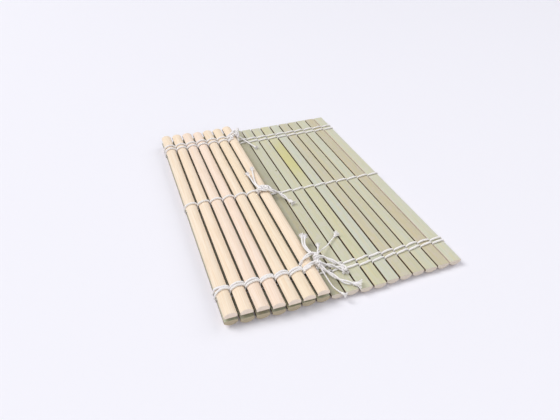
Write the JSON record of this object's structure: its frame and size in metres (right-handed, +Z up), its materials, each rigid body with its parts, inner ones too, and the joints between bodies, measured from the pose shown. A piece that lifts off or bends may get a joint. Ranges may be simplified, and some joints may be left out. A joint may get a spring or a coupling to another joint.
{
  "type": "sushi rolling mat",
  "caption": "Square kitchen mat of bamboo slats laced side by side with twine in rows, lying flat with one side folded over; each slat hinges on the next so it rolls up.",
  "frame": {"origin": "on the surface that the mat lies on, under the middle of its outline", "axes": "+Y along the slats, +X across them from the fold to the free edge, +Z up"},
  "size_m": [0.1707, 0.245, 0.0155],
  "materials": {
    "bamboo": "bare split bamboo, smooth green skin on the flat side, pale split wood on the rounded side",
    "twine": "white twisted cotton twine"
  },
  "bodies": {
    "slat_01": {"slat_01": "bamboo", "lacing_01": "twine"},
    "slat_02": {"slat_02": "bamboo", "lacing_02": "twine"},
    "slat_03": {"slat_03": "bamboo", "lacing_03": "twine"},
    "slat_04": {"slat_04": "bamboo", "lacing_04": "twine"},
    "slat_05": {"slat_05": "bamboo", "lacing_05": "twine"},
    "slat_06": {"slat_06": "bamboo", "lacing_06": "twine"},
    "slat_07": {"slat_07": "bamboo", "lacing_07": "twine"},
    "slat_08": {"slat_08": "bamboo", "lacing_08": "twine"},
    "slat_09": {"slat_09": "bamboo", "lacing_09": "twine"},
    "slat_10": {"slat_10": "bamboo", "lacing_10": "twine"},
    "slat_11": {"slat_11": "bamboo", "lacing_11": "twine"},
    "slat_12": {"slat_12": "bamboo", "lacing_12": "twine"},
    "slat_13": {"slat_13": "bamboo", "lacing_13": "twine"},
    "slat_14": {"slat_14": "bamboo", "lacing_14": "twine"},
    "slat_15": {"slat_15": "bamboo", "lacing_15": "twine"},
    "slat_16": {"slat_16": "bamboo", "lacing_16": "twine"},
    "slat_17": {"slat_17": "bamboo", "lacing_17": "twine"},
    "slat_18": {"slat_18": "bamboo", "lacing_18": "twine"},
    "slat_19": {"slat_19": "bamboo", "lacing_19": "twine"},
    "slat_20": {"slat_20": "bamboo", "lacing_20": "twine"},
    "slat_21": {"slat_21": "bamboo", "lacing_21": "twine"},
    "slat_22": {"slat_22": "bamboo", "lacing_22": "twine"},
    "slat_23": {"slat_23": "bamboo", "lacing_23": "twine"},
    "slat_24": {"slat_24": "bamboo", "lacing_24": "twine", "near_knot": "twine", "middle_knot": "twine", "far_knot": "twine", "near_tail_back": "twine", "near_tail_long": "twine", "near_tail_side": "twine", "near_tail_corner": "twine", "near_tail_fine": "twine", "middle_tail_back": "twine", "middle_tail_front": "twine", "far_tail_front": "twine"}
  },
  "joints": [
    {"name": "bend_01", "type": "hinge", "parent": "slat_02", "child": "slat_01", "pos_m": [0.07462, 0, 0.0046], "axis": [0, -1, 0], "range_deg": [-30, 38]},
    {"name": "bend_02", "type": "hinge", "parent": "slat_03", "child": "slat_02", "pos_m": [0.06463, 0, 0.0046], "axis": [0, -1, 0], "range_deg": [-29, 38]},
    {"name": "bend_03", "type": "hinge", "parent": "slat_04", "child": "slat_03", "pos_m": [0.05462, 0, 0.0046], "axis": [0, -1, 0], "range_deg": [-28, 38]},
    {"name": "bend_04", "type": "hinge", "parent": "slat_05", "child": "slat_04", "pos_m": [0.04462, 0, 0.0046], "axis": [0, -1, 0], "range_deg": [-27, 38]},
    {"name": "bend_05", "type": "hinge", "parent": "slat_06", "child": "slat_05", "pos_m": [0.03463, 0, 0.0046], "axis": [0, -1, 0], "range_deg": [-26, 38]},
    {"name": "bend_06", "type": "hinge", "parent": "slat_07", "child": "slat_06", "pos_m": [0.02463, 0, 0.0046], "axis": [0, -1, 0], "range_deg": [-25, 38]},
    {"name": "bend_07", "type": "hinge", "parent": "slat_08", "child": "slat_07", "pos_m": [0.01463, 0, 0.0046], "axis": [0, -1, 0], "range_deg": [-24, 38]},
    {"name": "bend_08", "type": "hinge", "parent": "slat_09", "child": "slat_08", "pos_m": [0.00462, 0, 0.0046], "axis": [0, -1, 0], "range_deg": [-24, 0]},
    {"name": "bend_09", "type": "hinge", "parent": "slat_09", "child": "slat_10", "pos_m": [-0.00537, 0, 0.0046], "axis": [0, 1, 0], "range_deg": [-23, 0]},
    {"name": "bend_10", "type": "hinge", "parent": "slat_10", "child": "slat_11", "pos_m": [-0.01537, 0, 0.0046], "axis": [0, 1, 0], "range_deg": [-22, 0]},
    {"name": "bend_11", "type": "hinge", "parent": "slat_11", "child": "slat_12", "pos_m": [-0.02538, 0, 0.0046], "axis": [0, 1, 0], "range_deg": [-22, 0]},
    {"name": "bend_12", "type": "hinge", "parent": "slat_12", "child": "slat_13", "pos_m": [-0.03537, 0, 0.0046], "axis": [0, 1, 0], "range_deg": [-21, 0]},
    {"name": "bend_13", "type": "hinge", "parent": "slat_13", "child": "slat_14", "pos_m": [-0.04537, 0, 0.0046], "axis": [0, 1, 0], "range_deg": [-21, 0]},
    {"name": "bend_14", "type": "hinge", "parent": "slat_14", "child": "slat_15", "pos_m": [-0.05538, 0, 0.0046], "axis": [0, 1, 0], "range_deg": [-20, 0]},
    {"name": "bend_15", "type": "hinge", "parent": "slat_15", "child": "slat_16", "pos_m": [-0.06538, 0, 0.0046], "axis": [0, 1, 0], "range_deg": [-20, 0]},
    {"name": "bend_16", "type": "hinge", "parent": "slat_16", "child": "slat_17", "pos_m": [-0.07537, 0, 0.0046], "axis": [0, 1, 0], "range_deg": [-20, 0]},
    {"name": "fold", "type": "hinge", "parent": "slat_17", "child": "slat_18", "pos_m": [-0.08538, 0, 0.00635], "axis": [0, 1, 0], "range_deg": [-186, 0]},
    {"name": "bend_18", "type": "hinge", "parent": "slat_18", "child": "slat_19", "pos_m": [-0.07537, 0, 0.0081], "axis": [0, 1, 0], "range_deg": [-19, 0]},
    {"name": "bend_19", "type": "hinge", "parent": "slat_19", "child": "slat_20", "pos_m": [-0.06538, 0, 0.0081], "axis": [0, 1, 0], "range_deg": [-19, 0]},
    {"name": "bend_20", "type": "hinge", "parent": "slat_20", "child": "slat_21", "pos_m": [-0.05538, 0, 0.0081], "axis": [0, 1, 0], "range_deg": [-19, 0]},
    {"name": "bend_21", "type": "hinge", "parent": "slat_21", "child": "slat_22", "pos_m": [-0.04537, 0, 0.0081], "axis": [0, 1, 0], "range_deg": [-18, 0]},
    {"name": "bend_22", "type": "hinge", "parent": "slat_22", "child": "slat_23", "pos_m": [-0.03537, 0, 0.0081], "axis": [0, 1, 0], "range_deg": [-18, 0]},
    {"name": "bend_23", "type": "hinge", "parent": "slat_23", "child": "slat_24", "pos_m": [-0.02538, 0, 0.0081], "axis": [0, 1, 0], "range_deg": [-18, 0]}
  ]
}
